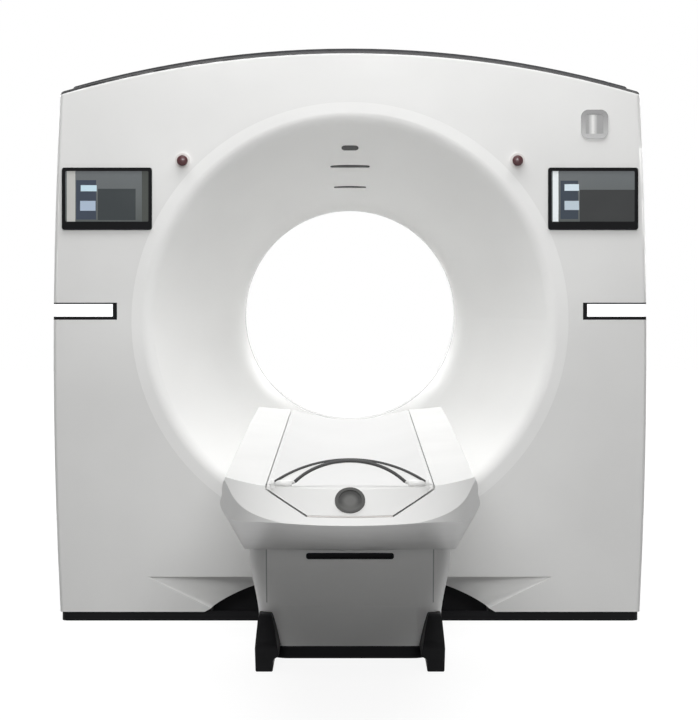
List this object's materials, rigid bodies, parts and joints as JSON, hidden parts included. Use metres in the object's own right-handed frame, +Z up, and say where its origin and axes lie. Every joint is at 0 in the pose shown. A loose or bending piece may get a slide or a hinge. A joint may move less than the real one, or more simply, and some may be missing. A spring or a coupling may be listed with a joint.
{
  "type": "ct scanner",
  "caption": "Wide-bore medical scanner: ring-shaped gantry with a flared bore on the floor and a lifting patient table whose cradle slides through it.",
  "frame": {"origin": "on the floor straight below the middle of the bore, in the scan plane", "axes": "+Z up, +Y from the table through the bore to the back, +X to the right seen from the table's foot end"},
  "size_m": [2.132, 3.6047, 2.072],
  "materials": {
    "white_cover": "satin painted moulding",
    "dark_cover": "fine-grained dark moulding",
    "black_trim": "matt black moulding",
    "bezel_black": "smooth black frame",
    "display_glass": "dark screen behind glass",
    "lens_white": "white light guide",
    "window_clear": "thin pale window film",
    "badge_grey": "plain grey plate",
    "dark_window": "dark window",
    "collar_pale": "pale ring",
    "stop_red": "dark red push button",
    "frame_steel": "grey painted steel",
    "zinc_steel": "plated steel",
    "bearing_steel": "ground steel",
    "rotor_alloy": "machined alloy",
    "unit_grey": "cast alloy housings",
    "fan_black": "black moulding",
    "slip_brass": "brass tracks",
    "motor_grey": "painted motor",
    "belt_rubber": "toothed belt",
    "table_white": "satin painted moulding",
    "sleeve_grey": "grey inner sleeve",
    "cradle_shell": "smooth pale board",
    "cradle_cap": "moulded pale plastic"
  },
  "bodies": {
    "gantry": {"gantry_base": "frame_steel", "gantry_feet": "zinc_steel", "plinth": "black_trim", "front_cover": "white_cover", "front_funnel": "white_cover", "rear_cover": "white_cover", "rear_flare": "white_cover", "top_cover": "dark_cover", "side_cover_left": "white_cover", "side_cover_right": "white_cover", "scan_window": "window_clear", "badge": "badge_grey", "camera_window": "dark_window", "slot_windows": "dark_window", "stator_frame": "frame_steel", "bearing_outer": "bearing_steel", "brush_block": "fan_black", "drive_motor": "motor_grey", "drive_belt": "belt_rubber", "display_frame_left": "bezel_black", "display_frame_right": "bezel_black", "display_glass_left": "display_glass", "display_glass_right": "display_glass", "light_bar_frame_left": "bezel_black", "light_bar_frame_right": "bezel_black", "light_bar_lens_left": "lens_white", "light_bar_lens_right": "lens_white", "stop_collar_left": "collar_pale", "stop_collar_right": "collar_pale", "table_base": "frame_steel", "table_skirt": "black_trim", "pedestal_cover": "table_white", "slot_trim": "black_trim", "lift_motor": "motor_grey", "foot_fairing_left": "black_trim", "foot_fairing_right": "black_trim"},
    "rotor": {"bearing_inner": "bearing_steel", "rotor_disc": "rotor_alloy", "tube_unit": "unit_grey", "collimator": "rotor_alloy", "detector_arc": "rotor_alloy", "generator": "unit_grey", "power_unit": "unit_grey", "heat_exchanger": "unit_grey", "slip_ring": "slip_brass"},
    "fan": {"exchanger_fan": "fan_black"},
    "pulley": {"drive_pulley": "bearing_steel"},
    "arm_lower": {"lift_arm_lower": "zinc_steel"},
    "arm_upper": {"lift_arm_upper": "zinc_steel"},
    "carriage": {"lift_sleeve": "sleeve_grey", "table_frame": "frame_steel", "table_shell": "table_white", "cradle_drive": "motor_grey"},
    "roller": {"cradle_roller": "bearing_steel"},
    "cradle": {"cradle": "cradle_shell", "cradle_end_cap": "cradle_cap", "end_disc": "badge_grey"},
    "bail": {"release_handle": "cradle_cap"},
    "stop_left": {"stop_button_left": "stop_red"},
    "stop_right": {"stop_button_right": "stop_red"}
  },
  "joints": [
    {"name": "rotor_spin", "type": "hinge", "parent": "gantry", "child": "rotor", "pos_m": [0, 0, 1.08], "axis": [0, 1, 0], "continuous": true},
    {"name": "pulley_spin", "type": "hinge", "parent": "gantry", "child": "pulley", "pos_m": [0.745, 0, 0.385], "axis": [0, 1, 0], "continuous": true},
    {"name": "fan_spin", "type": "hinge", "parent": "rotor", "child": "fan", "pos_m": [-0.49321, 0, 1.57321], "axis": [0, 1, 0], "continuous": true},
    {"name": "lift_swing", "type": "hinge", "parent": "gantry", "child": "arm_lower", "pos_m": [0, -0.616, 0.13], "axis": [-1, 0, 0], "range_deg": [-16.6, 32.3]},
    {"name": "arm_cross", "type": "hinge", "parent": "arm_lower", "child": "arm_upper", "pos_m": [0, -0.84835, 0.33521], "axis": [-1, 0, 0], "range_deg": [-64.7, 33.3]},
    {"name": "carriage_level", "type": "hinge", "parent": "arm_upper", "child": "carriage", "pos_m": [0, -0.616, 0.54042], "axis": [-1, 0, 0], "range_deg": [-16.7, 32.4]},
    {"name": "cradle_slide", "type": "slide", "parent": "carriage", "child": "cradle", "axis": [0, 1, 0], "range_m": [0, 1.7]},
    {"name": "roller_spin", "type": "hinge", "parent": "carriage", "child": "roller", "pos_m": [0, -0.684, 0.6787], "axis": [-1, 0, 0], "continuous": true},
    {"name": "bail_swing", "type": "hinge", "parent": "cradle", "child": "bail", "pos_m": [0, -2.944, 0.7715], "axis": [1, 0, 0], "range_deg": [0, 25], "stiffness_Nm_per_rad": 1.5},
    {"name": "stop_press_left", "type": "slide", "parent": "gantry", "child": "stop_left", "axis": [0, 1, 0], "range_m": [0, 0.006], "stiffness_N_per_m": 1200},
    {"name": "stop_press_right", "type": "slide", "parent": "gantry", "child": "stop_right", "axis": [0, 1, 0], "range_m": [0, 0.006], "stiffness_N_per_m": 1200}
  ],
  "couplings": [
    {"joint": "pulley_spin", "follows": "rotor_spin", "ratio": 10.917},
    {"joint": "arm_cross", "follows": "lift_swing", "ratio": -2},
    {"joint": "carriage_level", "follows": "lift_swing", "ratio": 1},
    {"joint": "roller_spin", "follows": "cradle_slide", "rad_per_m": 41.667}
  ]
}
